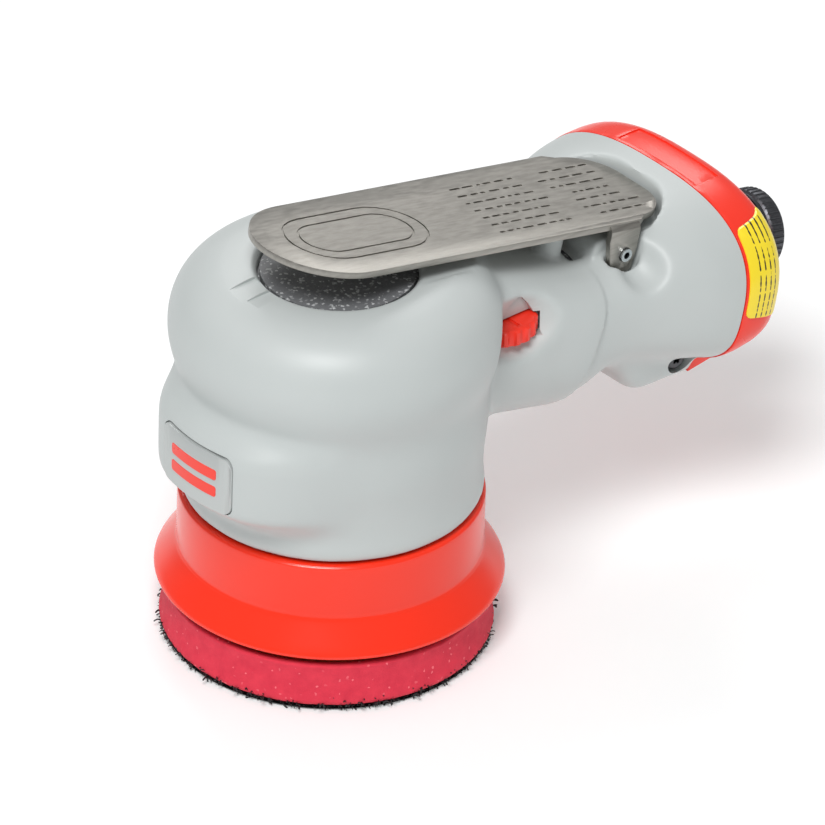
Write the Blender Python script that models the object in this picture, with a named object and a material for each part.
"""Air-driven palm random-orbital sander, modelled as the separate pieces it is assembled from.

Frame: the origin is the centre of the sanding face on the motor's axis, +Z runs up that axis,
+X runs back along the handle to the air inlet, and the tool is symmetric about y = 0 apart from
its speed selector, cap screw, rating label and the pad's orbit.
Sizes below are in millimetres and are turned to metres where a mesh is made.
"""

from math import cos, pi, radians, sin, tau

import bmesh
import bpy
from mathutils import Matrix, Vector

MM = 0.001
GAP = 0.3                  # clearance left between neighbouring solids

# ---- driving dimensions --------------------------------------------------------------------------
PAD_RADIUS = 38.1          # a 3 inch pad
ORBIT = 2.38               # eccentric offset of the spindle, a 3/16 inch orbit diameter
ORBIT_ANGLE = radians(220)  # where the spindle's axis lies in the rest position
HOOK_THICK = 1.2
FOAM_THICK = 7.1
BACKING_THICK = 2.3
BACKING_HUB_RISE = 1.8
STUD_RADIUS = 3.9          # 5/16 inch thread
STUD_REACH = 9.0           # how far the stud screws into the spindle

BORE_RADIUS = 26.9         # motor bore in the housing
HOUSING_WALL = 4.4
HOUSING_BOTTOM = 24.0
HOUSING_TOP = 92.5
TOP_DISC_RADIUS = 17.7

SPINDLE_BEARING = (6.0, 14.0, 8.0)   # bore radius, outer radius, width
LOWER_BEARING = (6.0, 14.0, 8.0)
UPPER_BEARING = (4.0, 11.0, 7.0)
BALANCER_RADIUS = 22.5
BALANCER_TOP = 33.0
LOCK_RING_THICK = 4.0
LOWER_PLATE_THICK = 11.7
CYLINDER_LENGTH = 20.0
CYLINDER_BORE = 20.5
CYLINDER_OFFSET = 2.6      # the bore is off the motor's axis, which makes the air chambers
UPPER_PLATE_THICK = 11.4
VANES = 5
VANE_THICK = 1.6
VANE_DEPTH = 8.2

SKIRT_LIP_RADIUS = 40.0
SKIRT_LIP_Z = 13.5
SKIRT_BAND_RADIUS = 35.0
SKIRT_CREASE_Z = 21.6
SKIRT_TOP_Z = 35.4
SKIRT_WALL = 1.8

GRIP_WALL = 2.2            # elastomer over the rigid housing
OPENING_RADIUS = 18.0
TILT = radians(12)         # the handle slopes down from the head towards the inlet

INLET_LEVEL = 79.3         # height of the inlet's axis, square to the handle
INLET_END = 114.6          # distance of the inlet's end along the handle
INLET_RING_RADIUS = 10.0
INLET_THREAD_RADIUS = 6.4  # inside radius of the female inlet thread
INLET_SHANK_RADIUS = 8.5

LEVER_THICK = 1.5
LEVER_UNDERSIDE = 97.45
LEVER_FRONT_RADIUS = 17.3
LEVER_FRONT = -42.5
LEVER_REAR = 69.2
LEVER_REAR_HALF = 15.5
LEVER_CORNER = 12.0
EAR_OUTER = 18.3
EAR_AHEAD = 5.6            # the ears reach this far ahead of the pin and behind it
EAR_BEHIND = 3.3
EAR_TIP = 4.6
LEVER_ROOM = 1.2           # clearance round the lever's outline
DECK_DROP = 2.8            # the grip's deck lies this far under the lever at rest
LEVER_SWEEP = radians(3.2)  # a little more than the lever's travel
PIVOT_ALONG = 52.7
PIVOT_LEVEL = 91.0
PIN_RADIUS = 1.6

VALVE_ALONG = 38.1
STEM_RADIUS = 2.4
BUSHING_RADIUS = 6.5

SELECTOR_RADIUS = 8.0
SELECTOR_THICK = 4.1
SELECTOR_CENTRE = (35.5, -15.0)
SELECTOR_TOP = 74.4
SELECTOR_RIDGES = 18

CAP_FRONT = 76.5           # where the grip ends and the rear cap begins, along the handle
CAP_CHIN_FRONT = 76.4      # the cap's lower part begins here, under the handle
CAP_REAR = 88.5
CAP_SPLIT_LEVEL = 71.0
CAP_WALL = 2.2

# ---- fixings, badge and the selector's dish ------------------------------------------------------
CORE_INSET = GRIP_WALL + GAP# housing under the grip
CHAMBER_INSET = CORE_INSET + 2.4# muffler chamber in it
CHIN_LOW = 56.5            # block under the handle for the cap screw
CHIN_HALF = 24.0
CHIN_RISE = 1.9            # the block's underside rises this much towards the cap
CHIN_FROM = 58.0
SCREW_ALONG = 72.0
SCREW_LEVEL = 63.7
BADGE_RADIUS = 41.8
BADGE_HALF = (11.7, 7.2)
BADGE_MIDDLE = 55.4
BADGE_THICK = 1.1
SCREW_HEAD = 2.6
SCREW_SHANK = 1.5
SCREW_SUNK = 3.2           # depth of the screw head below the chin
SELECTOR_STEM = 3.0
SELECTOR_FOOT = 58.8
VALVE_FLOOR = 72.0
INLET_START = 62.0
# a finger dish in the grip's side lets a fingertip reach the selector
DISH_CENTRE = (SELECTOR_CENTRE[0] + 2.0, SELECTOR_CENTRE[1] - 12.5, SELECTOR_TOP + 1.1)
DISH_RADII = (11.5, 8.0, 9.5)
DISH_LEAN = radians(-18)
INLET_COLLAR = 9.2

# ---- levels of the motor's stack, worked out from the sizes above --------------------------------
ORBIT_X = ORBIT * cos(ORBIT_ANGLE)
ORBIT_Y = ORBIT * sin(ORBIT_ANGLE)
FOAM_BOTTOM = HOOK_THICK + GAP
FOAM_TOP = FOAM_BOTTOM + FOAM_THICK
BACKING_BOTTOM = FOAM_TOP + GAP
BACKING_TOP = BACKING_BOTTOM + BACKING_THICK
HUB_TOP = BACKING_TOP + BACKING_HUB_RISE
SPINDLE_BOTTOM = HUB_TOP + GAP
SPINDLE_FLANGE = 3.2
BALANCER_BOTTOM = SPINDLE_BOTTOM + SPINDLE_FLANGE + 2 * GAP
SPINDLE_BEARING_Z = BALANCER_BOTTOM + 0.7
POCKET_TOP = SPINDLE_BEARING_Z + SPINDLE_BEARING[2] + GAP
SPINDLE_TOP = POCKET_TOP + 2.4
LOCK_RING_Z = BALANCER_TOP + 1.0
LOWER_PLATE_Z = LOCK_RING_Z + LOCK_RING_THICK + GAP
LOWER_BEARING_Z = LOWER_PLATE_Z + 0.5
CYLINDER_Z = LOWER_PLATE_Z + LOWER_PLATE_THICK + GAP
CYLINDER_TOP = CYLINDER_Z + CYLINDER_LENGTH
UPPER_PLATE_Z = CYLINDER_TOP + GAP
UPPER_PLATE_TOP = UPPER_PLATE_Z + UPPER_PLATE_THICK
UPPER_BEARING_Z = UPPER_PLATE_Z + 3.7
ROTOR_RADIUS = CYLINDER_BORE - CYLINDER_OFFSET - GAP
SHAFT_RADIUS = LOWER_BEARING[0] - GAP
SHAFT_TOP_RADIUS = UPPER_BEARING[0] - GAP
STACK_RADIUS = BORE_RADIUS - GAP
HOUSING_RADIUS = BORE_RADIUS + HOUSING_WALL
GRIP_INNER = HOUSING_RADIUS + GAP
GRIP_BOTTOM = SKIRT_TOP_Z + GAP

# ---- outlines ------------------------------------------------------------------------------------
# Outside of the head: radius and height from the bottom edge up to the rim of the top opening.
HEAD_PROFILE = [
    (34.6, GRIP_BOTTOM), (34.9, 37.2), (34.2, 41.0), (34.3, 48.0), (34.9, 54.0), (35.0, 60.0),
    (35.0, 64.0), (35.7, 68.0), (37.2, 72.5), (38.1, 77.5), (37.7, 82.5), (35.8, 87.0),
    (32.2, 90.6), (27.5, 92.8), (22.5, 93.6),
]
# The handle's outside: distance along it, half width, top, widest level, bottom.
HANDLE_SECTIONS = [
    (2.0, 21.0, 94.4, 74.0, 53.0),
    (12.0, 22.5, 93.6, 75.0, 52.0),
    (22.0, 24.0, 91.8, 76.0, 52.0),
    (31.0, 25.0, 90.2, 77.0, 52.0),
    (39.0, 25.6, 89.6, 77.5, 52.6),
    (45.0, 26.2, 90.4, 78.0, 55.5),
    (49.0, 26.8, 92.5, 78.3, 60.5),
    (55.0, 28.4, 95.8, 79.0, 62.5),
    (62.0, 31.2, 98.6, 79.8, 62.8),
    (69.0, 34.2, 100.9, 80.3, 62.6),
    (CAP_FRONT, 36.3, 102.4, 80.5, 62.2),
]
CAP_SECTIONS = [
    (69.0, 34.2, 100.9, 80.3, 62.6),
    (CAP_FRONT, 36.3, 102.4, 80.5, 62.2),
    (82.0, 36.7, 103.6, 80.8, 64.6),
    (86.0, 35.9, 103.8, 81.0, 67.4),
    (CAP_REAR, 33.6, 102.2, 81.0, 69.6),
]
UPPER_POWER = 2.6
LOWER_POWER = 3.1
SECTION_POINTS = 28


# ---- mesh helpers --------------------------------------------------------------------------------
def clear_scene():
    for thing in list(bpy.data.objects):
        bpy.data.objects.remove(thing, do_unlink=True)


def material(name, colour, roughness, metallic=0.0):
    made = bpy.data.materials.new(name)
    made.use_nodes = True
    shader = made.node_tree.nodes["Principled BSDF"]
    shader.inputs["Base Color"].default_value = (*colour, 1.0)
    shader.inputs["Roughness"].default_value = roughness
    shader.inputs["Metallic"].default_value = metallic
    return made


def finish_object(name, bm, finish, smooth_angle=35):
    """Turn a bmesh in millimetres into a named object in metres."""
    bmesh.ops.remove_doubles(bm, verts=bm.verts, dist=1e-4)
    bmesh.ops.recalc_face_normals(bm, faces=bm.faces)
    bmesh.ops.scale(bm, vec=(MM, MM, MM), verts=bm.verts)
    mesh = bpy.data.meshes.new(name)
    bm.to_mesh(mesh)
    bm.free()
    mesh.shade_smooth()
    mesh.set_sharp_from_angle(angle=radians(smooth_angle))
    made = bpy.data.objects.new(name, mesh)
    bpy.context.scene.collection.objects.link(made)
    if finish is not None:
        mesh.materials.append(finish)
    return made


def turned(profile, steps=40, centre=(0.0, 0.0)):
    """Spin a closed (radius, height) outline round a vertical axis."""
    bm = bmesh.new()
    corners = [bm.verts.new((radius, 0.0, height)) for radius, height in profile]
    edges = [bm.edges.new((a, b)) for a, b in zip(corners, corners[1:] + corners[:1])]
    bmesh.ops.spin(bm, geom=corners + edges, axis=(0, 0, 1), cent=(0, 0, 0), dvec=(0, 0, 0),
                   angle=tau, steps=steps, use_merge=True, use_duplicate=False)
    bmesh.ops.remove_doubles(bm, verts=bm.verts, dist=1e-4)
    bmesh.ops.dissolve_degenerate(bm, edges=bm.edges, dist=1e-4)
    on_axis = [edge for edge in bm.edges if not edge.link_faces]
    bmesh.ops.delete(bm, geom=on_axis, context="EDGES")
    bmesh.ops.translate(bm, vec=(*centre, 0.0), verts=bm.verts)
    return bm


def ring_profile(inner, outer, low, high):
    return [(inner, low), (outer, low), (outer, high), (inner, high)]


def disc_profile(radius, low, high):
    return [(0.0, low), (radius, low), (radius, high), (0.0, high)]


def block(low, high):
    bm = bmesh.new()
    bmesh.ops.create_cube(bm, size=1.0)
    size = [b - a for a, b in zip(low, high)]
    middle = [(a + b) / 2 for a, b in zip(low, high)]
    bmesh.ops.scale(bm, vec=size, verts=bm.verts)
    bmesh.ops.translate(bm, vec=middle, verts=bm.verts)
    return bm


def rod(start, end, radius, steps=20):
    """A straight cylinder between two points."""
    start, end = Vector(start), Vector(end)
    bm = bmesh.new()
    bmesh.ops.create_cone(bm, cap_ends=True, segments=steps, radius1=radius, radius2=radius,
                          depth=(end - start).length)
    turn = (end - start).to_track_quat("Z", "Y").to_matrix().to_4x4()
    bmesh.ops.transform(bm, matrix=Matrix.Translation((start + end) / 2) @ turn, verts=bm.verts)
    return bm


def extruded(outline, low, high, axis=2):
    """Extrude a closed outline of 2D points along one axis: 0 is lengthways, 1 sideways, 2 upwards."""
    bm = bmesh.new()
    place = {0: lambda a, b: (low, a, b), 1: lambda a, b: (a, low, b), 2: lambda a, b: (a, b, low)}[axis]
    reach = [0, 0, 0]
    reach[axis] = high - low
    face = bm.faces.new([bm.verts.new(place(a, b)) for a, b in outline])
    grown = bmesh.ops.extrude_face_region(bm, geom=[face])
    moved = [item for item in grown["geom"] if isinstance(item, bmesh.types.BMVert)]
    bmesh.ops.translate(bm, vec=reach, verts=moved)
    return bm


def rounded_outline(half_x, half_y, radius, steps=6):
    """A rectangle with round corners, centred on the origin."""
    points = []
    for corner in range(4):
        sign_x = (1, -1, -1, 1)[corner]
        sign_y = (1, 1, -1, -1)[corner]
        for step in range(steps + 1):
            angle = (corner + step / steps) * pi / 2
            points.append((sign_x * (half_x - radius) + radius * cos(angle),
                           sign_y * (half_y - radius) + radius * sin(angle)))
    return points


def section_ring(section, inset=0.0):
    """One cross-section of the handle: two half super-ellipses that meet at the widest level."""
    along, half, top, widest, bottom = section
    points = []
    for step in range(SECTION_POINTS):
        angle = tau * step / SECTION_POINTS
        power = UPPER_POWER if angle < pi else LOWER_POWER
        reach = (top - widest if angle < pi else widest - bottom) - inset
        c, s = cos(angle), sin(angle)
        y = (half - inset) * abs(c) ** (2 / power) * (1 if c >= 0 else -1)
        level = widest + reach * abs(s) ** (2 / power) * (1 if s >= 0 else -1)
        points.append(Vector((along, y, level)))
    return points


def lofted(rings):
    """Join closed rings of points in order and cap both ends."""
    bm = bmesh.new()
    made = [[bm.verts.new(point) for point in ring] for ring in rings]
    count = len(made[0])
    for first, second in zip(made, made[1:]):
        for index in range(count):
            after = (index + 1) % count
            bm.faces.new((first[index], first[after], second[after], second[index]))
    bm.faces.new(made[0][::-1])
    bm.faces.new(made[-1])
    return bm


def at_distance(sections, along):
    """The handle's section at any distance, between the two listed ones nearest to it."""
    for first, second in zip(sections, sections[1:]):
        if along <= second[0] or second is sections[-1]:
            share = (along - first[0]) / (second[0] - first[0])
            return tuple(a + (b - a) * share for a, b in zip(first, second))
    return sections[-1]


def handle_loft(inset=0.0, start=None, end=None, sections=None):
    """The handle's outer form, or a smaller one inside it, between two distances along it."""
    sections = HANDLE_SECTIONS if sections is None else sections
    start = sections[0][0] if start is None else start
    end = sections[-1][0] if end is None else end
    chosen = [at_distance(sections, start)]
    chosen += [s for s in sections if start + 0.5 < s[0] < end - 0.5]
    chosen += [at_distance(sections, end)]
    return lofted([section_ring(s, inset) for s in chosen])


def coil(radius, wire, low, high, turns, steps=10, sides=5):
    """A compression spring round the vertical axis with its ends cut square."""
    rings = []
    total = int(turns * steps)
    for step in range(total + 1):
        share = step / total
        angle = tau * turns * share
        centre = Vector((radius * cos(angle), radius * sin(angle),
                         low + wire + share * (high - low - 2 * wire)))
        outward = Vector((cos(angle), sin(angle), 0))
        ring = []
        for side in range(sides):
            turn = tau * side / sides
            ring.append(centre + outward * wire * cos(turn) + Vector((0, 0, wire * sin(turn))))
        rings.append(ring)
    return lofted(rings)


def bead(major, minor, height, steps=24, sides=6, centre=(0.0, 0.0)):
    """An O-ring."""
    profile = [(major + minor * cos(tau * s / sides),
                height + minor * sin(tau * s / sides)) for s in range(sides)]
    return turned(profile, steps, centre)


def move(bm, offset):
    bmesh.ops.translate(bm, vec=offset, verts=bm.verts)
    return bm


# ---- object helpers ------------------------------------------------------------------------------
def cutter(bm, name, tilted=False):
    """A hidden guide that another object is cut with or joined to."""
    guide = finish_object("cutter_" + name, bm, None)
    guide.hide_render = True
    guide.display_type = "WIRE"
    if tilted:
        guide.rotation_euler = (0, TILT, 0)
    return guide


def combine(target, other, operation):
    """Add one Boolean. The grip's thin walls meet at shallow angles, where only the manifold solver holds."""
    step = target.modifiers.new(operation.lower(), "BOOLEAN")
    step.operation = operation
    step.solver = "MANIFOLD" if target.name == "grip_cover" else "EXACT"
    step.object = other


def cut(target, *others):
    for other in others:
        combine(target, other, "DIFFERENCE")


def join(target, *others):
    for other in others:
        combine(target, other, "UNION")


def tilt(thing):
    """Stand a piece that was drawn square to the handle in its tilted place."""
    thing.rotation_euler = (0, TILT, 0)
    return thing


def hinge_frame(name, place, tilted=False):
    """An empty on a joint's axis, which the moving pieces hang from."""
    frame = bpy.data.objects.new(name, None)
    bpy.context.scene.collection.objects.link(frame)
    frame.location = Vector(place) * MM
    if tilted:
        frame.rotation_euler = (0, TILT, 0)
    return frame


def hang(piece, frame):
    """Parent a piece to a joint's empty and keep it where it was drawn."""
    bpy.context.view_layer.update()
    piece.parent = frame
    piece.matrix_parent_inverse = frame.matrix_world.inverted()


def handle_point(along, across, level):
    """World position in millimetres of a point given square to the handle."""
    return Vector((along * cos(TILT) + level * sin(TILT), across, -along * sin(TILT) + level * cos(TILT)))


# ---- finishes ------------------------------------------------------------------------------------
def finishes():
    return {
        "elastomer": material("grey_elastomer", (0.50, 0.53, 0.53), 0.5),
        "casting": material("cast_aluminium", (0.12, 0.12, 0.12), 0.5, 0.6),
        "red_rubber": material("red_rubber", (0.90, 0.06, 0.03), 0.35),
        "red_plastic": material("red_plastic", (0.92, 0.07, 0.04), 0.4),
        "foam": material("crimson_foam", (0.70, 0.06, 0.08), 0.9),
        "hook": material("black_hook", (0.02, 0.02, 0.02), 0.9),
        "plate": material("black_plate", (0.03, 0.03, 0.03), 0.6),
        "steel": material("bright_steel", (0.55, 0.55, 0.56), 0.3, 1.0),
        "stainless": material("stainless_sheet", (0.38, 0.36, 0.34), 0.38, 1.0),
        "zinc": material("zinc_plate", (0.6, 0.65, 0.7), 0.3, 1.0),
        "gunmetal": material("gunmetal", (0.08, 0.08, 0.09), 0.4, 1.0),
        "brass": material("brass", (0.75, 0.55, 0.2), 0.35, 1.0),
        "aluminium": material("machined_aluminium", (0.6, 0.6, 0.62), 0.4, 1.0),
        "vane": material("vane_laminate", (0.18, 0.09, 0.04), 0.7),
        "seal": material("seal_rubber", (0.02, 0.02, 0.02), 0.6),
        "badge": material("grey_plastic", (0.52, 0.55, 0.55), 0.45),
        "felt": material("grey_felt", (0.35, 0.35, 0.33), 1.0),
        "label": material("yellow_label", (0.95, 0.75, 0.0), 0.5),
    }


# ---- pad and spindle, centred on the orbiting axis -----------------------------------------------
def build_pad(look, frame):
    axis = (ORBIT_X, ORBIT_Y)
    stud_top = BACKING_BOTTOM + 1.5
    hole = STUD_RADIUS + GAP
    flange = 8.0
    pieces = []
    hook = turned(disc_profile(PAD_RADIUS, 0.0, HOOK_THICK), 40, axis)
    pieces.append(finish_object("hook_face", hook, look["hook"]))
    foam = [(0, FOAM_BOTTOM), (PAD_RADIUS, FOAM_BOTTOM), (PAD_RADIUS - 0.7, FOAM_TOP), (0, FOAM_TOP)]
    pieces.append(finish_object("pad_foam", turned(foam, 40, axis), look["foam"]))
    backing = [
        (flange + GAP, BACKING_BOTTOM), (PAD_RADIUS - 1.6, BACKING_BOTTOM), (PAD_RADIUS - 2.6, BACKING_TOP),
        (11.0, BACKING_TOP), (10.2, HUB_TOP), (hole, HUB_TOP), (hole, stud_top + GAP), (flange + GAP,
                                                                                        stud_top + GAP),
    ]
    pieces.append(finish_object("backing_plate", turned(backing, 30, axis), look["plate"]))
    stud_end = SPINDLE_BOTTOM + STUD_REACH
    stud = [
        (0, BACKING_BOTTOM), (flange, BACKING_BOTTOM), (flange, stud_top), (STUD_RADIUS, stud_top),
        (STUD_RADIUS, stud_end - 0.8), (STUD_RADIUS - 0.8, stud_end), (0, stud_end),
    ]
    pieces.append(finish_object("pad_stud", turned(stud, 14, axis), look["steel"]))
    flange_top = SPINDLE_BOTTOM + SPINDLE_FLANGE
    journal = SPINDLE_BEARING[0] - GAP
    threads_end = stud_end + 1.0
    spindle = [
        (hole, SPINDLE_BOTTOM), (9.2, SPINDLE_BOTTOM), (9.2, flange_top), (7.4, flange_top),
        (7.4, SPINDLE_BEARING_Z - GAP), (journal, SPINDLE_BEARING_Z - GAP), (journal, SPINDLE_TOP - 1.6),
        (journal - 0.7, SPINDLE_TOP - 1.6), (journal - 0.7, SPINDLE_TOP - 0.6), (journal, SPINDLE_TOP - 0.6),
        (journal, SPINDLE_TOP), (0, SPINDLE_TOP), (0, threads_end), (hole, threads_end),
    ]
    body = finish_object("spindle", turned(spindle, 20, axis), look["steel"])
    for side in (-1, 1):
        low = (axis[0] - 12, axis[1] + side * 11.0 - 3.0, SPINDLE_BOTTOM - 1)
        high = (axis[0] + 12, axis[1] + side * 11.0 + 3.0, flange_top + 0.15)
        cut(body, cutter(block(low, high), "spindle_flat"))
    pieces.append(body)
    clip = ring_profile(journal - 0.4, journal + 1.2, SPINDLE_TOP - 1.45, SPINDLE_TOP - 0.75)
    pieces.append(finish_object("spindle_circlip", turned(clip, 20, axis), look["steel"]))
    pieces.append(bearing_inner("spindle_bearing_inner", SPINDLE_BEARING, SPINDLE_BEARING_Z, axis, look))
    for piece in pieces:
        hang(piece, frame)


# ---- ball bearings -------------------------------------------------------------------------------
def bearing_inner(name, size, low, centre, look):
    bore, outer, width = size
    land = bore + 0.28 * (outer - bore)
    return finish_object(name, turned(ring_profile(bore, land, low, low + width), 20, centre), look["steel"])


def bearing_outer(name, size, low, centre, look):
    bore, outer, width = size
    land = outer - 0.28 * (outer - bore)
    return finish_object(name, turned(ring_profile(land, outer, low, low + width), 24, centre), look["steel"])


def bearing_cage(name, size, low, centre, look, balls=6):
    """The ring of balls with the cage that spaces them, as one piece."""
    bore, outer, width = size
    pitch = (bore + outer) / 2
    radius = 0.22 * (outer - bore) - GAP / 2
    middle = low + width / 2
    cage = finish_object(name, turned(ring_profile(pitch - 0.45, pitch + 0.45, middle - 1.9, middle + 1.9),
                                      12, centre),
                         look["steel"])
    for index in range(balls):
        angle = tau * index / balls
        bm = bmesh.new()
        bmesh.ops.create_uvsphere(bm, u_segments=7, v_segments=4, radius=radius)
        move(bm, (centre[0] + pitch * cos(angle), centre[1] + pitch * sin(angle), middle))
        join(cage, cutter(bm, f"{name}_ball_{index + 1}"))
    return cage


# ---- rotor and balancer, centred on the motor's axis ---------------------------------------------
def build_rotor(look, frame):
    pieces = []
    step_z = UPPER_BEARING_Z - GAP
    shaft_end = UPPER_BEARING_Z + UPPER_BEARING[2] + GAP
    outline = [
        (0, BALANCER_BOTTOM), (BALANCER_RADIUS, BALANCER_BOTTOM), (BALANCER_RADIUS, BALANCER_TOP - 1),
        (BALANCER_RADIUS - 1, BALANCER_TOP), (9.5, BALANCER_TOP), (SHAFT_RADIUS + 1.2, LOWER_BEARING_Z - GAP),
        (SHAFT_RADIUS, LOWER_BEARING_Z - GAP), (SHAFT_RADIUS, step_z), (SHAFT_TOP_RADIUS, step_z),
        (SHAFT_TOP_RADIUS, shaft_end), (0, shaft_end),
    ]
    balancer = finish_object("shaft_balancer", turned(outline, 30), look["steel"])
    axis = (ORBIT_X, ORBIT_Y)
    pocket = turned(disc_profile(SPINDLE_BEARING[1] + GAP, BALANCER_BOTTOM - 1, POCKET_TOP), 24, axis)
    relief = turned(disc_profile(8.0, POCKET_TOP - 0.5, SPINDLE_TOP + 0.5), 16, axis)
    light_side = SPINDLE_BEARING[1] + GAP + ORBIT + 1.3
    flat = block((light_side, -30, BALANCER_BOTTOM - 1), (40, 30, BALANCER_TOP + 0.5))
    bmesh.ops.rotate(flat, cent=(0, 0, 0), matrix=Matrix.Rotation(ORBIT_ANGLE, 3, "Z"), verts=flat.verts)
    key_low, key_high = CYLINDER_Z + 5, CYLINDER_Z + 13
    keyway = block((SHAFT_RADIUS - 2, -1.5, key_low - GAP), (SHAFT_RADIUS + 2, 1.5, key_high + GAP))
    screw_hole = turned(disc_profile(2.0, shaft_end - 9, shaft_end + 1), 10)
    cut(balancer, cutter(pocket, "bearing_pocket"), cutter(relief, "spindle_relief"),
        cutter(flat, "light_side"),
        cutter(keyway, "shaft_keyway"), cutter(screw_hole, "shaft_screw_hole"))
    pieces.append(balancer)
    key = block((SHAFT_RADIUS - 2 + GAP, -1.2, key_low), (SHAFT_RADIUS + 1.4, 1.2, key_high))
    pieces.append(finish_object("rotor_key", key, look["steel"]))

    low, high = CYLINDER_Z + GAP, CYLINDER_TOP - GAP
    rotor = finish_object("rotor", turned(ring_profile(SHAFT_RADIUS + GAP, ROTOR_RADIUS, low, high), 30),
                          look["aluminium"])
    groove = block((SHAFT_RADIUS - 1, -1.5, low - 1), (SHAFT_RADIUS + 1.4 + GAP, 1.5, high + 1))
    cut(rotor, cutter(groove, "rotor_keyway"))
    pieces.append(rotor)
    slot_floor = ROTOR_RADIUS - VANE_DEPTH - GAP
    for index in range(VANES):
        turn = Matrix.Rotation(tau * (index + 0.5) / VANES, 3, "Z")
        half_slot = VANE_THICK / 2 + GAP
        slot = block((slot_floor, -half_slot, low - 1), (ROTOR_RADIUS + 2, half_slot, high + 1))
        bmesh.ops.rotate(slot, cent=(0, 0, 0), matrix=turn, verts=slot.verts)
        cut(rotor, cutter(slot, f"vane_slot_{index + 1}"))
        vane = block((slot_floor + GAP, -VANE_THICK / 2, low), (ROTOR_RADIUS - 0.1, VANE_THICK / 2, high))
        bmesh.ops.rotate(vane, cent=(0, 0, 0), matrix=turn, verts=vane.verts)
        pieces.append(finish_object(f"vane_{index + 1}", vane, look["vane"]))

    head = shaft_end + GAP
    screw = [(0, shaft_end - 8), (1.7, shaft_end - 8), (1.7, head), (5.2, head), (5.2, head + 1.6),
             (3.6, head + 2.6), (0, head + 2.6)]
    pieces.append(finish_object("shaft_screw", turned(screw, 16), look["steel"]))
    pieces.append(bearing_inner("lower_bearing_inner", LOWER_BEARING, LOWER_BEARING_Z, (0, 0), look))
    pieces.append(bearing_inner("upper_bearing_inner", UPPER_BEARING, UPPER_BEARING_Z, (0, 0), look))
    pieces.append(bearing_outer("spindle_bearing_outer", SPINDLE_BEARING, SPINDLE_BEARING_Z, axis, look))
    for piece in pieces:
        hang(piece, frame)


# ---- fixed pieces of the motor -------------------------------------------------------------------
def build_motor_stack(look):
    dowel_at = (-(CYLINDER_BORE + STACK_RADIUS) / 2, 0.0)
    dowel_radius = 1.2
    dowel_low, dowel_high = CYLINDER_Z - 2.5, CYLINDER_TOP + 2.7
    finish_object("cylinder_dowel", turned(disc_profile(dowel_radius, dowel_low, dowel_high), 12, dowel_at),
                  look["steel"])

    def drill(target, name):
        hole = turned(disc_profile(dowel_radius + GAP, dowel_low - GAP, dowel_high + GAP), 10, dowel_at)
        cut(target, cutter(hole, name + "_dowel_hole"))

    ring = finish_object("lock_ring", turned(ring_profile(12.4, STACK_RADIUS, LOCK_RING_Z,
                                                          LOCK_RING_Z + LOCK_RING_THICK), 28),
                         look["aluminium"])
    for index in range(4):
        angle = tau * index / 4
        hole = turned(disc_profile(1.6, LOCK_RING_Z - 1, LOCK_RING_Z + 2.2), 8,
                      (20 * cos(angle), 20 * sin(angle)))
        cut(ring, cutter(hole, f"spanner_hole_{index + 1}"))

    low, high = LOWER_PLATE_Z, LOWER_PLATE_Z + LOWER_PLATE_THICK
    seat = LOWER_BEARING[1] + GAP
    floor = LOWER_BEARING_Z + LOWER_BEARING[2] + GAP
    groove = STACK_RADIUS - 2.0
    lower = [
        (seat, low), (STACK_RADIUS, low), (STACK_RADIUS, low + 4.0), (groove, low + 4.0), (groove, low + 6.4),
        (STACK_RADIUS, low + 6.4), (STACK_RADIUS, high), (SHAFT_RADIUS + 1, high), (SHAFT_RADIUS + 1, floor),
        (seat, floor),
    ]
    plate = finish_object("lower_end_plate", turned(lower, 30), look["aluminium"])
    drill(plate, "lower_plate")
    finish_object("housing_oring", bead(STACK_RADIUS - 0.8, 0.85, low + 5.2, 28), look["seal"])
    bearing_outer("lower_bearing_outer", LOWER_BEARING, LOWER_BEARING_Z, (0, 0), look)

    liner = finish_object("cylinder", turned(disc_profile(STACK_RADIUS, CYLINDER_Z, CYLINDER_TOP), 36),
                          look["steel"])
    bore = turned(disc_profile(CYLINDER_BORE, CYLINDER_Z - 1, CYLINDER_TOP + 1), 36, (0, CYLINDER_OFFSET))
    cut(liner, cutter(bore, "cylinder_bore"))
    middle = (CYLINDER_Z + CYLINDER_TOP) / 2
    for index, across in enumerate((-9.0, 0.0, 9.0)):
        port = rod((12, across * 0.6, middle + across * 0.5),
                   (STACK_RADIUS + 3, across, middle + across * 0.5), 1.6, 10)
        cut(liner, cutter(port, f"cylinder_port_{index + 1}"))
    drill(liner, "cylinder")

    low, high = UPPER_PLATE_Z, UPPER_PLATE_TOP
    seat = UPPER_BEARING[1] + GAP
    upper = [(SHAFT_RADIUS + 1, low), (STACK_RADIUS, low), (STACK_RADIUS, high), (seat, high),
             (seat, UPPER_BEARING_Z - GAP), (SHAFT_RADIUS + 1, UPPER_BEARING_Z - GAP)]
    plate = finish_object("upper_end_plate", turned(upper, 30), look["aluminium"])
    drill(plate, "upper_plate")
    bearing_outer("upper_bearing_outer", UPPER_BEARING, UPPER_BEARING_Z, (0, 0), look)


# ---- the rigid housing ---------------------------------------------------------------------------


def chin_block(inset, end):
    """The low block under the rear of the handle that takes the cap's screw."""
    outline = [(CHIN_FROM - 11.5 + inset, CHIN_LOW + 14), (CHIN_FROM + inset, CHIN_LOW + 1.5 + inset),
               (CHIN_FROM + 3 + inset, CHIN_LOW + inset),
               (end, CHIN_LOW + CHIN_RISE + inset), (end, CHIN_LOW + 14)]
    return extruded(outline, -CHIN_HALF + inset, CHIN_HALF - inset, axis=1)


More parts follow.
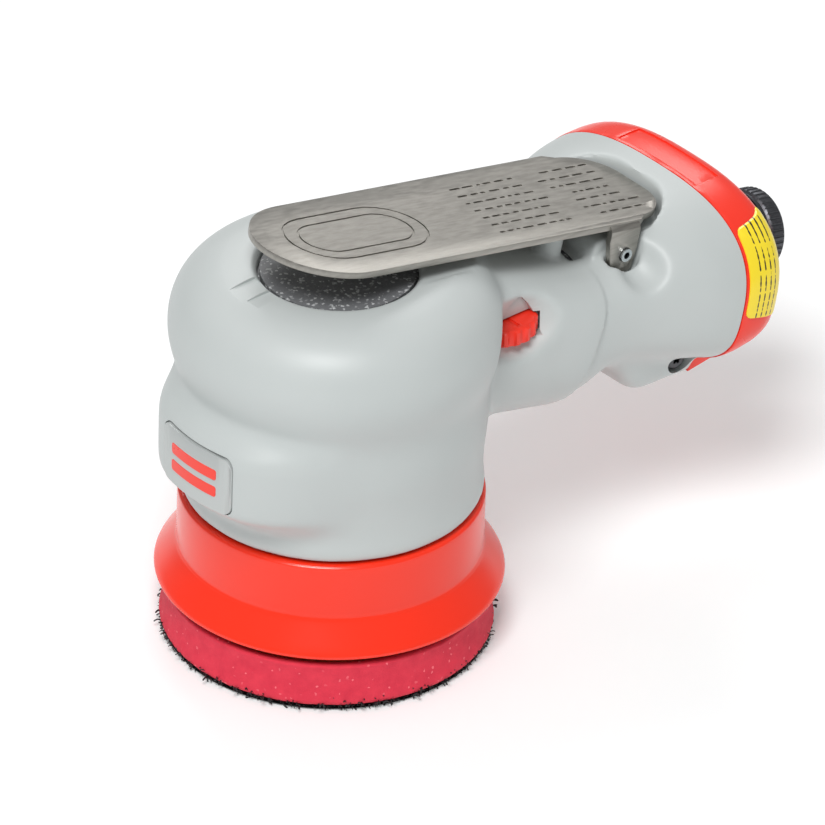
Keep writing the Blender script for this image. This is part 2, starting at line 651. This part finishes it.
def seat_cutters(clearance, steps=16):
    """Holes for the pieces that pass through the rigid housing and its grip alike."""
    pin = rod((PIVOT_ALONG, -30, PIVOT_LEVEL), (PIVOT_ALONG, 30, PIVOT_LEVEL), PIN_RADIUS + clearance, steps)
    x, y = SELECTOR_CENTRE
    low, high = SELECTOR_TOP - SELECTOR_THICK - clearance, SELECTOR_TOP + clearance
    wheel = turned(disc_profile(SELECTOR_RADIUS + clearance, low, high), 36, (x, y))
    return cutter(pin, "pin_hole", tilted=True), cutter(wheel, "selector_pocket")


def build_housing(look):
    top = HOUSING_TOP
    outline = [
        (0, HOUSING_BOTTOM), (HOUSING_RADIUS, HOUSING_BOTTOM), (HOUSING_RADIUS, 84.5), (29.0, 88.2),
        (25.0, 90.3), (TOP_DISC_RADIUS, 90.8), (TOP_DISC_RADIUS, top), (0, top),
    ]
    housing = finish_object("motor_housing", turned(outline, 36), look["casting"])
    core = cutter(handle_loft(CORE_INSET, 12.0, CAP_FRONT - 0.6), "handle_core", tilted=True)
    chin = cutter(chin_block(CORE_INSET, CAP_CHIN_FRONT - 0.6), "chin_core", tilted=True)
    join(housing, core, chin)
    under_cap = block((CAP_CHIN_FRONT - 0.6, -45, 40), (CAP_FRONT + 5, 45, CAP_SPLIT_LEVEL + 0.3))
    cut(housing, cutter(under_cap, "core_under_cap", tilted=True),
        cutter(lever_room(CORE_INSET), "core_under_lever", tilted=True),
        *(cutter(ear_pocket(side, CORE_INSET), f"housing_ear_{side + 2}", tilted=True) for side in (-1, 1)))

    chamber = cutter(handle_loft(CHAMBER_INSET, 60.0, CAP_FRONT), "muffler_chamber", tilted=True)
    cut(chamber, cutter(lever_room(CHAMBER_INSET), "above_chamber", tilted=True),
        *(cutter(ear_pocket(side, CHAMBER_INSET), f"chamber_ear_{side + 2}", tilted=True)
          for side in (-1, 1)))
    boss = cutter(rod((57, 0, INLET_LEVEL), (CAP_FRONT - 0.6, 0, INLET_LEVEL), 11.8, 36), "inlet_boss",
                  tilted=True)
    cut(housing, chamber, finger_dish("housing_dish", CORE_INSET))
    join(housing, boss)
    bearing_room = turned(disc_profile(6.0, UPPER_PLATE_TOP - 0.5, UPPER_PLATE_TOP + 4.6), 28)
    bore = turned(disc_profile(BORE_RADIUS, HOUSING_BOTTOM - 1, UPPER_PLATE_TOP + GAP), 36)
    inlet = rod((INLET_START - 1.8, 0, INLET_LEVEL), (CAP_FRONT + 2, 0, INLET_LEVEL),
                INLET_SHANK_RADIUS + GAP, 32)
    gallery = rod((VALVE_ALONG, 0, INLET_LEVEL), (INLET_START + 1, 0, INLET_LEVEL), 4.0, 20)
    seal_seat = rod((CAP_FRONT - 2.8, 0, INLET_LEVEL), (CAP_FRONT + 2, 0, INLET_LEVEL), 10.9, 32)
    valve_bore = turned(disc_profile(BUSHING_RADIUS + GAP, VALVE_FLOOR - 2.4, 120), 32)
    move(valve_bore, (VALVE_ALONG, 0, 0))
    x, y = SELECTOR_CENTRE
    stem_hole = turned(disc_profile(SELECTOR_STEM + GAP, SELECTOR_FOOT - GAP, SELECTOR_TOP), 20, (x, y))
    to_selector = rod(handle_point(VALVE_ALONG - 4, -1, 85.5), (x, y, SELECTOR_FOOT + 4.5), 1.9, 14)
    to_motor = rod((x, y, SELECTOR_FOOT + 4.5), (BORE_RADIUS - 4, y * 0.5, SELECTOR_FOOT + 4.5), 1.9, 14)
    exhaust = rod(handle_point(20, 11, 67), handle_point(63, 13, 68), 3.4, 18)
    cut(housing, cutter(bearing_room, "shaft_screw_room"), cutter(bore, "motor_bore"),
        cutter(inlet, "inlet_bore", tilted=True), cutter(gallery, "inlet_gallery", tilted=True),
        cutter(seal_seat, "inlet_seal_seat", tilted=True), cutter(valve_bore, "valve_bore", tilted=True),
        cutter(stem_hole, "selector_stem_hole"), cutter(to_selector, "air_to_selector"),
        cutter(to_motor, "air_to_motor"), cutter(exhaust, "exhaust_gallery"))
    pocket = rod((SCREW_ALONG, -CHIN_HALF - 2, SCREW_LEVEL), (SCREW_ALONG, -CHIN_HALF + 16, SCREW_LEVEL),
                 SCREW_SHANK + GAP, 18)
    head_seat = rod((SCREW_ALONG, -CHIN_HALF - 2, SCREW_LEVEL),
                    (SCREW_ALONG, -CHIN_HALF + SCREW_SUNK + 0.3, SCREW_LEVEL),
                    SCREW_HEAD + GAP, 24)
    cut(housing, cutter(pocket, "cap_screw_hole", tilted=True),
        cutter(head_seat, "cap_screw_seat", tilted=True))
    cut(housing, *seat_cutters(GAP))
    return housing


# ---- the grip ------------------------------------------------------------------------------------


def ear_pocket(side, spread):
    """Room beside the handle for one of the lever's ears, made larger by the thickness of a wall."""
    inner = EAR_OUTER - LEVER_THICK - 0.8 - spread
    low, high = sorted((side * inner, side * 45))
    return block((PIVOT_ALONG - 8.2 - spread, low, PIVOT_LEVEL - 5.8 - spread),
                 (PIVOT_ALONG + 6.1 + spread, high, 125))


def finger_dish(name, spread):
    """The round dish that lets a fingertip reach the speed selector, made larger by a wall's thickness."""
    bm = bmesh.new()
    bmesh.ops.create_uvsphere(bm, u_segments=22, v_segments=14, radius=1)
    bmesh.ops.scale(bm, vec=[size + spread for size in DISH_RADII], verts=bm.verts)
    bmesh.ops.rotate(bm, cent=(0, 0, 0), matrix=Matrix.Rotation(DISH_LEAN, 3, "Y"), verts=bm.verts)
    return cutter(move(bm, DISH_CENTRE), name)


def lever_room(spread):
    """Everything above the handle's deck, back to a wall behind the lever's end."""
    return block((-60, -60, LEVER_UNDERSIDE - DECK_DROP - spread),
                 (LEVER_REAR + LEVER_ROOM + spread, 60, 140))


def front_bulge():
    """The raised pad at the front of the head that carries the badge."""
    profile = [(30, 41), (37.0, 42.0), (40.6, 46.0), (BADGE_RADIUS, 49.5), (BADGE_RADIUS, 61.0), (40.2, 65.0),
               (36.0, 69.0), (30, 70)]
    bulge = turned(profile, 40)
    for side in (-1, 1):
        normal = Vector((0.42, side, 0)).normalized()
        geometry = bulge.verts[:] + bulge.edges[:] + bulge.faces[:]
        cutting = bmesh.ops.bisect_plane(bulge, geom=geometry,
                                         plane_co=Vector((-BADGE_RADIUS, side * 15.5, 0)),
                                         plane_no=normal, clear_outer=True)
        edges = [item for item in cutting["geom_cut"] if isinstance(item, bmesh.types.BMEdge)]
        bmesh.ops.holes_fill(bulge, edges=edges)
    return bulge


def lever_outline(extra=0.0):
    """Plan of the lever's plate: round at the front, narrower with round corners behind the ears."""
    front = LEVER_FRONT_RADIUS + extra
    rear_half = LEVER_REAR_HALF + extra
    corner = LEVER_CORNER + extra
    centre = LEVER_FRONT + LEVER_FRONT_RADIUS
    steps = 14
    points = []
    for step in range(steps + 1):
        angle = pi / 2 + pi * step / steps
        points.append((centre + front * cos(angle), front * sin(angle)))
    points.append((PIVOT_ALONG + 4.2, -front))
    points.append((PIVOT_ALONG + 6.2, -rear_half))
    for step in range(steps // 2 + 1):
        angle = -pi / 2 + pi / 2 * step / (steps // 2)
        points.append((LEVER_REAR - LEVER_CORNER + corner * cos(angle),
                       -rear_half + corner + corner * sin(angle)))
    for step in range(steps // 2 + 1):
        angle = pi / 2 * step / (steps // 2)
        points.append((LEVER_REAR - LEVER_CORNER + corner * cos(angle),
                       rear_half - corner + corner * sin(angle)))
    points.append((PIVOT_ALONG + 6.2, rear_half))
    points.append((PIVOT_ALONG + 4.2, front))
    return points


def build_grip(look):
    outline = HEAD_PROFILE + [(0, HEAD_PROFILE[-1][1]), (0, GRIP_BOTTOM)]
    grip = finish_object("grip_cover", turned(outline, 40), look["elastomer"])
    join(grip, cutter(handle_loft(), "handle_form", tilted=True),
         cutter(chin_block(0, CAP_CHIN_FRONT - GAP), "chin_form", tilted=True),
         cutter(front_bulge(), "front_bulge"))
    for side in (-1, 1):
        post = turned(disc_profile(3.4, 80.0, LEVER_UNDERSIDE - 1.6), 24, (VALVE_ALONG - 0.6, side * 8.2))
        join(grip, cutter(post, f"guard_post_{side + 2}", tilted=True))

    shoulder = [
        (0, 0), (GRIP_INNER, 0), (GRIP_INNER, 84.5 + GAP / 2), (29.0 + GAP, 88.2 + GAP),
        (25.0 + GAP, 90.3 + GAP), (TOP_DISC_RADIUS + GAP, 90.8 + GAP), (TOP_DISC_RADIUS + GAP, 100), (0, 100),
    ]
    inside = cutter(turned(shoulder, 36), "head_inside")
    past_end = [(CAP_FRONT + 3, *HANDLE_SECTIONS[-1][1:])]
    core_inside = handle_loft(GRIP_WALL, 12.0 - GAP, CAP_FRONT + 3, HANDLE_SECTIONS + past_end)
    trimmed = cutter(core_inside, "core_inside", tilted=True)
    cut(trimmed, cutter(lever_room(GRIP_WALL), "above_core", tilted=True),
        finger_dish("core_dish", GRIP_WALL),
        *(cutter(ear_pocket(side, GRIP_WALL), f"core_ear_{side + 2}", tilted=True) for side in (-1, 1)))
    chin_inside = cutter(chin_block(GRIP_WALL, CAP_CHIN_FRONT + 3), "chin_inside", tilted=True)
    under_cap = cutter(block((CAP_CHIN_FRONT - GAP, -45, 40), (CAP_FRONT + 5, 45, CAP_SPLIT_LEVEL)),
                       "grip_under_cap",
                       tilted=True)
    behind = cutter(block((CAP_FRONT - GAP, -60, 40), (CAP_FRONT + 9, 60, 120)), "behind_grip", tilted=True)
    opening = cutter(turned(disc_profile(OPENING_RADIUS, 91.5, 110), 48), "top_opening")
    deck = cutter(extruded(lever_outline(LEVER_ROOM), LEVER_UNDERSIDE - DECK_DROP, 125), "lever_scoop",
                  tilted=True)
    swept = extruded(lever_outline(LEVER_ROOM), LEVER_UNDERSIDE - 0.4, 125)
    bmesh.ops.rotate(swept, cent=(PIVOT_ALONG, 0, PIVOT_LEVEL), matrix=Matrix.Rotation(-LEVER_SWEEP, 3, "Y"),
                     verts=swept.verts)
    pressed_room = cutter(swept, "pressed_lever_room", tilted=True)
    ears = [cutter(ear_pocket(side, 0.0), f"ear_pocket_{side + 2}", tilted=True) for side in (-1, 1)]
    well = cutter(block((VALVE_ALONG + 3.2, -12.5, 80), (VALVE_ALONG + 7.0, 12.5, 120)), "stem_well",
                  tilted=True)
    stem_hole = cutter(move(turned(disc_profile(BUSHING_RADIUS + GAP, 70, 120), 28), (VALVE_ALONG, 0, 0)),
                       "stem_hole",
                       tilted=True)
    screw = rod((SCREW_ALONG, -CHIN_HALF - 12, SCREW_LEVEL), (SCREW_ALONG, -CHIN_HALF + 4, SCREW_LEVEL),
                SCREW_HEAD + 1.2, 24)
    badge = badge_solid(BADGE_THICK + GAP, GAP, 4.0)
    cut(grip, inside, trimmed, *seat_cutters(GAP + 0.1, 14), chin_inside, under_cap, behind, opening, deck,
        pressed_room, finger_dish("grip_dish", 0), *ears,
        well, stem_hole, cutter(screw, "cap_screw_recess", tilted=True), badge)
    return grip


def badge_solid(depth, margin, proud=0.0, name=None, finish=None):
    """A thin plate that follows the front of the head, or the pocket that it sits in."""
    label = name or f"cutter_badge_{margin:.1f}"
    ring = turned(ring_profile(BADGE_RADIUS - depth, BADGE_RADIUS + proud, BADGE_MIDDLE - 12,
                               BADGE_MIDDLE + 12), 96)
    plate = finish_object(label, ring, finish)
    half_wide, half_high = (half + margin for half in BADGE_HALF)
    outline = rounded_outline(half_wide, half_high, 2.4 + margin)
    window = move(extruded(outline, -60, 0, axis=0), (0, 0, BADGE_MIDDLE))
    combine(plate, cutter(window, f"badge_window_{margin:.1f}"), "INTERSECT")
    if name is None:
        plate.hide_render = True
        plate.display_type = "WIRE"
    return plate


def build_badge(look):
    badge_solid(BADGE_THICK, 0.0, 0.0, "front_badge", look["badge"])


# ---- skirt ---------------------------------------------------------------------------------------
def build_skirt(look):
    inner = HOUSING_RADIUS + GAP
    ledge = 28.8
    outline = [
        (SKIRT_LIP_RADIUS - 1.6, SKIRT_LIP_Z), (SKIRT_LIP_RADIUS - 0.5, SKIRT_LIP_Z), (SKIRT_LIP_RADIUS,
                                                                                       SKIRT_LIP_Z + 0.7),
        (SKIRT_LIP_RADIUS - 0.2, SKIRT_LIP_Z + 1.6), (SKIRT_BAND_RADIUS + 0.5, SKIRT_CREASE_Z - 0.6),
        (SKIRT_BAND_RADIUS, SKIRT_CREASE_Z + 0.2), (SKIRT_BAND_RADIUS, SKIRT_TOP_Z - 0.5),
        (SKIRT_BAND_RADIUS - 0.5, SKIRT_TOP_Z), (inner, SKIRT_TOP_Z), (inner, HOUSING_BOTTOM - GAP),
        (ledge, HOUSING_BOTTOM - GAP), (ledge, HOUSING_BOTTOM - GAP - SKIRT_WALL),
        (SKIRT_BAND_RADIUS - SKIRT_WALL, SKIRT_CREASE_Z - 1.0),
    ]
    finish_object("skirt", turned(outline, 36), look["red_rubber"])


# ---- rear cap, felt, label and inlet -------------------------------------------------------------
def inside_sections(end):
    """The cap's hollow: its own sections up to the rear wall, the last one repeated there."""
    kept = [s for s in CAP_SECTIONS if s[0] < end - 1]
    return kept + [(end, *at_distance(CAP_SECTIONS, end)[1:])]


def build_cap(look):
    cap = finish_object("rear_cap", handle_loft(0, CAP_CHIN_FRONT, CAP_REAR, CAP_SECTIONS),
                        look["red_plastic"])
    tilt(cap)
    rear_wall = CAP_REAR - CAP_WALL
    hollow = cutter(handle_loft(CAP_WALL, 70.0, rear_wall, inside_sections(rear_wall)), "cap_hollow",
                    tilted=True)
    ahead = cutter(block((60, -60, CAP_SPLIT_LEVEL), (CAP_FRONT, 60, 130)), "ahead_of_cap", tilted=True)
    tube = cutter(rod((CAP_FRONT + 1, 0, INLET_LEVEL), (CAP_REAR, 0, INLET_LEVEL), 12.6, 36),
                  "cap_inlet_tube", tilted=True)
    bore = cutter(rod((70, 0, INLET_LEVEL), (CAP_REAR + 5, 0, INLET_LEVEL), INLET_COLLAR + GAP, 36),
                  "cap_inlet_hole",
                  tilted=True)
    foot_line = [(CAP_CHIN_FRONT, CHIN_LOW + CHIN_RISE), (CAP_REAR - 2.8, CHIN_LOW + CHIN_RISE + 4.4),
                 (CAP_REAR - 2.2, CHIN_LOW + 9.0), (CAP_CHIN_FRONT, CHIN_LOW + 9.0)]
    foot = cutter(extruded(foot_line, -CHIN_HALF, CHIN_HALF, axis=1), "cap_foot", tilted=True)
    cut(cap, ahead, hollow)
    join(cap, foot, tube)
    cut(cap, bore)
    for side in (-1, 1):
        for row in range(4):
            level = INLET_LEVEL - 5 + row * 4.2
            low, high = sorted((side * 15.5, side * (28.5 - row * 1.2)))
            slot = block((rear_wall - 3, low, level), (CAP_REAR + 3, high, level + 2.0))
            cut(cap, cutter(slot, f"exhaust_slot_{row + 1}_{side + 2}", tilted=True))

    for side, name in ((-1, "muffler_felt_near"), (1, "muffler_felt_far")):
        felt = finish_object(name, handle_loft(CHAMBER_INSET + 1.2, 66.5, CAP_FRONT - 1.5), look["felt"])
        tilt(felt)
        low, high = sorted((-side * 60, side * 0.5))
        other_half = block((50, low, 40), (CAP_FRONT + 5, high, 130))
        cut(felt, cutter(rod((50, 0, INLET_LEVEL), (90, 0, INLET_LEVEL), 12.6, 36), f"{name}_inlet",
                         tilted=True),
            cutter(block((50, -50, 40), (CAP_FRONT + 5, 50, CAP_SPLIT_LEVEL + 1.0)), f"{name}_underside",
                   tilted=True),
            cutter(lever_room(CHAMBER_INSET + 1.2), f"{name}_top", tilted=True),
            cutter(other_half, f"{name}_half", tilted=True))


def build_label(look):
    """A label skin on the near side of the cap, cut from a slightly larger copy of the cap."""
    label = finish_object("rating_label", handle_loft(-0.75, CAP_FRONT + 1.0, CAP_REAR - 1.6, CAP_SECTIONS),
                          look["label"])
    tilt(label)
    inside = handle_loft(-GAP, CAP_FRONT - 1.0, CAP_REAR, CAP_SECTIONS)
    window = block((CAP_FRONT + 0.5, -60, 78.8), (CAP_REAR - 1.2, -20, 97.7))
    combine(label, cutter(window, "label_window", tilted=True), "INTERSECT")
    cut(label, cutter(inside, "label_inside", tilted=True))


def build_inlet(look):
    ring_start = INLET_END - 4.2
    outline = [
        (4.3, INLET_START), (INLET_SHANK_RADIUS, INLET_START), (INLET_SHANK_RADIUS,
                                                                CAP_FRONT), (INLET_COLLAR, CAP_FRONT),
        (INLET_COLLAR, CAP_REAR + 6), (9.6, CAP_REAR + 6.8), (9.6, ring_start - 0.8), (INLET_RING_RADIUS,
                                                                                       ring_start),
        (INLET_RING_RADIUS, INLET_END - 0.4), (INLET_RING_RADIUS - 0.4, INLET_END), (INLET_THREAD_RADIUS,
                                                                                     INLET_END),
        (INLET_THREAD_RADIUS, INLET_END - 16), (4.3, INLET_END - 17.5),
    ]
    bm = turned([(radius, along + GAP if along == INLET_START else along) for radius, along in outline], 24)
    lay_along_handle(bm, INLET_LEVEL)
    bushing = finish_object("inlet_bushing", bm, look["gunmetal"])
    tilt(bushing)
    across_flats = 17.6
    for index in range(6):
        flat = block((CAP_REAR + 6.9, across_flats / 2, -20), (ring_start - 1.0, 20, 20))
        bmesh.ops.rotate(flat, cent=(0, 0, 0), matrix=Matrix.Rotation(tau * (index + 0.5) / 6, 3, "X"),
                         verts=flat.verts)
        cut(bushing, cutter(move(flat, (0, 0, INLET_LEVEL)), f"inlet_flat_{index + 1}", tilted=True))

    seal = bead(9.7, 0.85, CAP_FRONT - 1.6, 24)
    lay_along_handle(seal, INLET_LEVEL)
    tilt(finish_object("inlet_oring", seal, look["seal"]))

    filter_disc = turned(ring_profile(0.9, 7.6, INLET_START - 1.4, INLET_START - 0.2), 18)
    lay_along_handle(filter_disc, INLET_LEVEL)
    screen = tilt(finish_object("inlet_screen", filter_disc, look["steel"]))
    for index in range(6):
        angle = tau * (index + 0.3) / 6
        reach = 2.9
        hole = rod((50, reach * cos(angle), INLET_LEVEL + reach * sin(angle)),
                   (70, reach * cos(angle), INLET_LEVEL + reach * sin(angle)), 0.9, 6)
        cut(screen, cutter(hole, f"screen_hole_{index + 1}", tilted=True))


def lay_along_handle(bm, level):
    """Lay a shape that was turned about the vertical axis along the handle, with its height as distance."""
    bmesh.ops.rotate(bm, cent=(0, 0, 0), matrix=Matrix.Rotation(pi / 2, 3, "Y"), verts=bm.verts)
    move(bm, (0, 0, level))


def build_cap_screw(look):
    head_low = -CHIN_HALF + SCREW_SUNK
    bm = turned([(0, 0), (SCREW_SHANK, 0), (SCREW_SHANK, 11.2), (SCREW_HEAD, 11.2), (SCREW_HEAD, 12.9),
                 (SCREW_HEAD - 0.7, 13.6), (0, 13.6)], 18)
    bmesh.ops.rotate(bm, cent=(0, 0, 0), matrix=Matrix.Rotation(pi / 2, 3, "X"), verts=bm.verts)
    move(bm, (SCREW_ALONG, head_low + 11.2, SCREW_LEVEL))
    screw = tilt(finish_object("cap_screw", bm, look["plate"]))
    for index in range(3):
        drive = block((-1.5, -60, -0.42), (1.5, head_low - 1.2, 0.42))
        bmesh.ops.rotate(drive, cent=(0, 0, 0), matrix=Matrix.Rotation(pi * index / 3, 3, "Y"),
                         verts=drive.verts)
        cut(screw, cutter(move(drive, (SCREW_ALONG, 0, SCREW_LEVEL)), f"screw_drive_{index + 1}",
                          tilted=True))


# ---- throttle lever and its pin ------------------------------------------------------------------
def build_lever(look, frame):
    plate = extruded(lever_outline(), LEVER_UNDERSIDE, LEVER_UNDERSIDE + LEVER_THICK)
    lever = finish_object("throttle_lever", plate, look["stainless"])
    tilt(lever)
    front, rear = PIVOT_ALONG - EAR_AHEAD, PIVOT_ALONG + EAR_BEHIND
    tip = EAR_TIP
    outline = [(front, LEVER_UNDERSIDE + 0.6), (front + 1.6, PIVOT_LEVEL + 1.5)]
    for step in range(9):
        angle = pi + radians(12) + (pi - radians(24)) * step / 8
        outline.append((PIVOT_ALONG + tip * cos(angle), PIVOT_LEVEL + tip * sin(angle)))
    outline += [(rear, PIVOT_LEVEL + 2.0), (rear, LEVER_UNDERSIDE + 0.6)]
    for side in (-1, 1):
        low, high = sorted((side * (EAR_OUTER - LEVER_THICK), side * EAR_OUTER))
        join(lever, cutter(extruded(outline, low, high, axis=1), f"lever_ear_{side + 2}", tilted=True))
        low, high = sorted((side * (LEVER_FRONT_RADIUS - 2.5), side * EAR_OUTER))
        bend = block((front, low, LEVER_UNDERSIDE), (rear, high, LEVER_UNDERSIDE + LEVER_THICK))
        join(lever, cutter(bend, f"lever_bend_{side + 2}", tilted=True))
    hole = rod((PIVOT_ALONG, -30, PIVOT_LEVEL), (PIVOT_ALONG, 30, PIVOT_LEVEL), PIN_RADIUS + 0.15, 20)
    cut(lever, cutter(hole, "lever_pin_hole", tilted=True))
    hang(lever, frame)

    pin = finish_object("lever_pin", rod((PIVOT_ALONG, -EAR_OUTER - 0.6, PIVOT_LEVEL),
                                         (PIVOT_ALONG, EAR_OUTER + 0.6, PIVOT_LEVEL),
                                         PIN_RADIUS, 20), look["zinc"])
    tilt(pin)
    core = rod((PIVOT_ALONG, -30, PIVOT_LEVEL), (PIVOT_ALONG, 30, PIVOT_LEVEL), PIN_RADIUS - 0.75, 16)
    cut(pin, cutter(core, "pin_bore", tilted=True))


# ---- throttle valve ------------------------------------------------------------------------------
def build_valve(look, frame):
    seat, roof = 83.4, 89.0
    chamber = BUSHING_RADIUS - 1.7
    stem_hole = STEM_RADIUS + GAP
    low = VALVE_FLOOR + 3.0
    sleeve = [(chamber, low), (BUSHING_RADIUS, low), (BUSHING_RADIUS, roof), (stem_hole, roof),
              (stem_hole, seat),
              (chamber, seat)]
    bushing = tilt(finish_object("valve_bushing", move(turned(sleeve, 24), (VALVE_ALONG, 0, 0)),
                                 look["brass"]))
    port = rod((VALVE_ALONG, 0, INLET_LEVEL), (VALVE_ALONG + 12, 0, INLET_LEVEL), 2.6, 18)
    outlet = rod((VALVE_ALONG - 12, 0, 86.0), (VALVE_ALONG, 0, 86.0), 1.5, 8)
    cut(bushing, cutter(port, "bushing_port", tilted=True), cutter(outlet, "bushing_outlet", tilted=True))
    plug = move(turned(disc_profile(BUSHING_RADIUS, VALVE_FLOOR, low - GAP), 24), (VALVE_ALONG, 0, 0))
    plug = tilt(finish_object("valve_plug", plug, look["brass"]))
    socket = cutter(move(turned(disc_profile(1.6, VALVE_FLOOR + 0.8, low + 5), 8), (VALVE_ALONG, 0, 0)),
                    "plug_socket",
                    tilted=True)
    cut(plug, socket)

    disc_low, disc_high = seat - 3.0, seat - GAP
    spring = coil(2.9, 0.45, low, disc_low - GAP, 4.5)
    spring = tilt(finish_object("valve_spring", move(spring, (VALVE_ALONG, 0, 0)), look["steel"]))
    poppet = [(0, VALVE_FLOOR + 2.4), (1.2, VALVE_FLOOR + 2.4), (1.2, disc_low), (chamber - 0.5, disc_low),
              (chamber - 0.5, disc_high - 0.8), (chamber - 1.3, disc_high), (0, disc_high)]
    pieces = [tilt(finish_object("valve_poppet", move(turned(poppet, 18), (VALVE_ALONG, 0, 0)),
                                 look["brass"]))]
    stem_top = LEVER_UNDERSIDE - GAP
    groove = STEM_RADIUS - 0.9
    stem = [(0, disc_high + GAP), (STEM_RADIUS, disc_high + GAP), (STEM_RADIUS, roof - 2.8),
            (groove, roof - 2.8),
            (groove, roof - 1.2), (STEM_RADIUS, roof - 1.2), (STEM_RADIUS,
                                                              stem_top - 0.7), (STEM_RADIUS - 0.9, stem_top),
            (0, stem_top)]
    pieces.append(tilt(finish_object("valve_stem", move(turned(stem, 16), (VALVE_ALONG, 0, 0)),
                                     look["badge"])))
    for piece in pieces:
        hang(piece, frame)


# ---- speed selector ------------------------------------------------------------------------------
def build_selector(look, frame):
    low = SELECTOR_TOP - SELECTOR_THICK
    outline = [(0, SELECTOR_FOOT), (SELECTOR_STEM, SELECTOR_FOOT), (SELECTOR_STEM, low),
               (SELECTOR_RADIUS, low),
               (SELECTOR_RADIUS, SELECTOR_TOP - 0.5), (SELECTOR_RADIUS - 0.5, SELECTOR_TOP), (0,
                                                                                              SELECTOR_TOP)]
    wheel = finish_object("speed_selector", turned(outline, 36, SELECTOR_CENTRE), look["red_plastic"])
    x, y = SELECTOR_CENTRE
    for index in range(SELECTOR_RIDGES):
        angle = tau * index / SELECTOR_RIDGES
        at = (x + (SELECTOR_RADIUS + 0.25) * cos(angle), y + (SELECTOR_RADIUS + 0.25) * sin(angle))
        flute = turned(disc_profile(0.85, low - 1, SELECTOR_TOP + 1), 7, at)
        cut(wheel, cutter(flute, f"selector_flute_{index + 1}"))
    port = rod((x - 9, y, SELECTOR_FOOT + 4.5), (x + 9, y, SELECTOR_FOOT + 4.5), 1.5, 14)
    cut(wheel, cutter(port, "selector_port"))
    hang(wheel, frame)


# ---- assembly ------------------------------------------------------------------------------------
def main():
    clear_scene()
    look = finishes()
    motor_axis = hinge_frame("motor_axis", (0, 0, 0))
    pad_axis = hinge_frame("pad_axis", (ORBIT_X, ORBIT_Y, 0))
    lever_pivot = hinge_frame("lever_pivot", handle_point(PIVOT_ALONG, 0, PIVOT_LEVEL), tilted=True)
    valve_axis = hinge_frame("valve_axis", handle_point(VALVE_ALONG, 0, LEVER_UNDERSIDE), tilted=True)
    selector_axis = hinge_frame("selector_axis", (*SELECTOR_CENTRE, SELECTOR_TOP))

    build_pad(look, pad_axis)
    build_rotor(look, motor_axis)
    hang(pad_axis, motor_axis)
    hang(bearing_cage("spindle_bearing_cage", SPINDLE_BEARING, SPINDLE_BEARING_Z, (ORBIT_X, ORBIT_Y), look),
         pad_axis)
    hang(bearing_cage("lower_bearing_cage", LOWER_BEARING, LOWER_BEARING_Z, (0, 0), look), motor_axis)
    hang(bearing_cage("upper_bearing_cage", UPPER_BEARING, UPPER_BEARING_Z, (0, 0), look), motor_axis)
    build_motor_stack(look)
    build_housing(look)
    build_grip(look)
    build_badge(look)
    build_skirt(look)
    build_cap(look)
    build_label(look)
    build_inlet(look)
    build_cap_screw(look)
    build_lever(look, lever_pivot)
    build_valve(look, valve_axis)
    build_selector(look, selector_axis)
    bpy.context.view_layer.update()


main()
